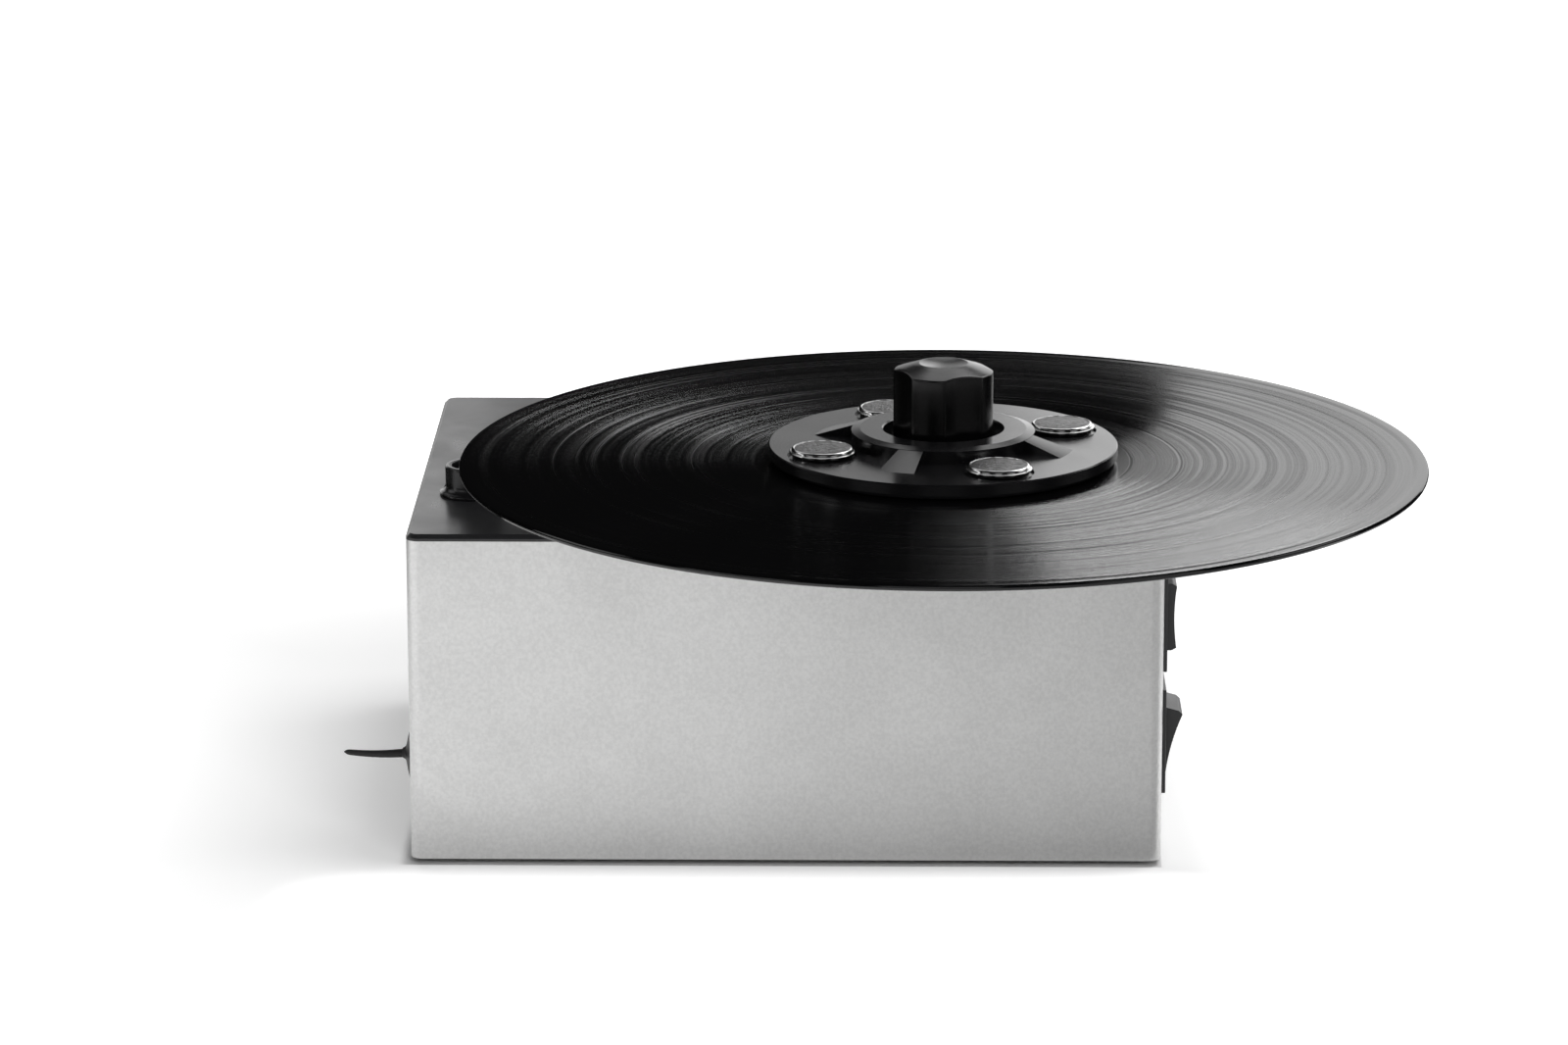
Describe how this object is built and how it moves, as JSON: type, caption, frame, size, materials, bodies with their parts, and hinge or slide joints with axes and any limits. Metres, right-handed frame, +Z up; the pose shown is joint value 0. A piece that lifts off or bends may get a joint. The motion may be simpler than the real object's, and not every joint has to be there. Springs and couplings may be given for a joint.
{
  "type": "record cleaning machine",
  "caption": "Vacuum record cleaner: a silver case with a motor-driven spindle, a screw-down clamp on the record, a socket for a suction arm and a drained waste tank.",
  "frame": {"origin": "centre of the case's footprint, on the floor under the feet", "axes": "+X to the right seen from the front, +Y to the back, +Z up"},
  "size_m": [0.3381, 0.3016, 0.1485],
  "materials": {
    "silver_case": "bead-blasted satin, clear anodised",
    "black_plate": "black satin anodised look",
    "black_panel": "black powder coat",
    "plated_steel": "zinc plated sheet",
    "fasteners": "bright plated",
    "black_screws": "blackened",
    "black_rubber": "matt rubber",
    "cast_alloy": "as cast",
    "bronze": "sintered bronze",
    "gear_brass": "machined brass",
    "natural_plastic": "natural acetal",
    "turned_steel": "turned and ground",
    "record_vinyl": "pressed vinyl with fine grooves",
    "clamp_plastic": "satin moulded",
    "knob_plastic": "polished moulded",
    "bright_caps": "polished rim, sandblasted face",
    "black_turned": "black anodised, turned",
    "tank_plastic": "moulded, natural",
    "foam": "open-cell foam",
    "switch_plastic": "moulded nylon",
    "circuit_board": "glass-epoxy laminate",
    "board_components": "moulded cases"
  },
  "bodies": {
    "case": {"case_wrap": "silver_case", "base_plate": "plated_steel", "rear_panel": "black_panel", "top_plate": "black_plate", "top_nuts": "fasteners", "rubber_feet": "black_rubber", "foot_screws": "fasteners", "base_screws": "fasteners", "rear_screws": "black_screws", "bearing_housing": "cast_alloy", "bearing_screws": "fasteners", "bearing_bushes": "bronze", "thrust_washer": "natural_plastic", "gear_head": "cast_alloy", "drive_motor": "plated_steel", "motor_bracket": "plated_steel", "motor_screws": "fasteners", "arm_socket": "black_turned", "socket_nut": "fasteners", "suction_hose": "black_rubber", "waste_tank": "tank_plastic", "tank_lid": "tank_plastic", "drain_spout": "black_turned", "spout_nut": "fasteners", "blower_motor": "cast_alloy", "blower_mount": "black_rubber", "blower_chamber": "plated_steel", "blower_cover": "plated_steel", "air_duct": "tank_plastic", "exhaust_foam": "foam", "direction_switch": "switch_plastic", "pump_switch": "switch_plastic", "mains_inlet": "switch_plastic", "inlet_pins": "fasteners", "power_board": "circuit_board", "board_parts": "board_components", "board_spacers": "natural_plastic"},
    "turntable": {"spindle": "turned_steel", "spindle_clip": "fasteners", "drive_gear": "natural_plastic", "platter": "black_plate", "platter_mat": "black_rubber", "vinyl_record": "record_vinyl"},
    "pinion": {"motor_pinion": "gear_brass"},
    "impeller": {"blower_impeller": "cast_alloy"},
    "clamp": {"clamp_disc": "clamp_plastic", "clamp_pads": "bright_caps", "clamp_seal": "black_rubber", "knob_washer": "bright_caps"},
    "knob": {"clamp_knob": "knob_plastic", "knob_insert": "gear_brass", "knob_clip": "fasteners"},
    "direction_rocker": {"direction_rocker": "switch_plastic"},
    "pump_rocker": {"pump_rocker": "switch_plastic"},
    "drain_plug": {"drain_plug": "black_rubber"}
  },
  "joints": [
    {"name": "platter_spin", "type": "hinge", "parent": "case", "child": "turntable", "pos_m": [0.0485, -0.042, 0.1], "axis": [0, 0, 1], "continuous": true},
    {"name": "pinion_spin", "type": "hinge", "parent": "case", "child": "pinion", "pos_m": [0.0095, -0.042, 0.05], "axis": [0, 0, 1], "continuous": true},
    {"name": "impeller_spin", "type": "hinge", "parent": "case", "child": "impeller", "pos_m": [0.033, 0.04228, 0.07], "axis": [0, 0, 1], "continuous": true},
    {"name": "clamp_lift", "type": "slide", "parent": "turntable", "child": "clamp", "axis": [0, 0, 1], "range_m": [0, 0.005]},
    {"name": "knob_turn", "type": "hinge", "parent": "clamp", "child": "knob", "pos_m": [0.0485, -0.042, 0.135], "axis": [0, 0, 1], "range_deg": [0, 1800]},
    {"name": "direction_rock", "type": "hinge", "parent": "case", "child": "direction_rocker", "pos_m": [0.1136, -0.073, 0.0778], "axis": [0, 1, 0], "range_deg": [-12, 12]},
    {"name": "pump_rock", "type": "hinge", "parent": "case", "child": "pump_rocker", "pos_m": [0.1136, -0.073, 0.0389], "axis": [0, 1, 0], "range_deg": [-30, 0]},
    {"name": "drain_pull", "type": "slide", "parent": "case", "child": "drain_plug", "axis": [-1, 0, 0], "range_m": [0, 0.03]}
  ],
  "couplings": [
    {"joint": "pinion_spin", "follows": "platter_spin", "ratio": -3.3333},
    {"joint": "knob_turn", "follows": "clamp_lift", "rad_per_m": 6283.2}
  ]
}
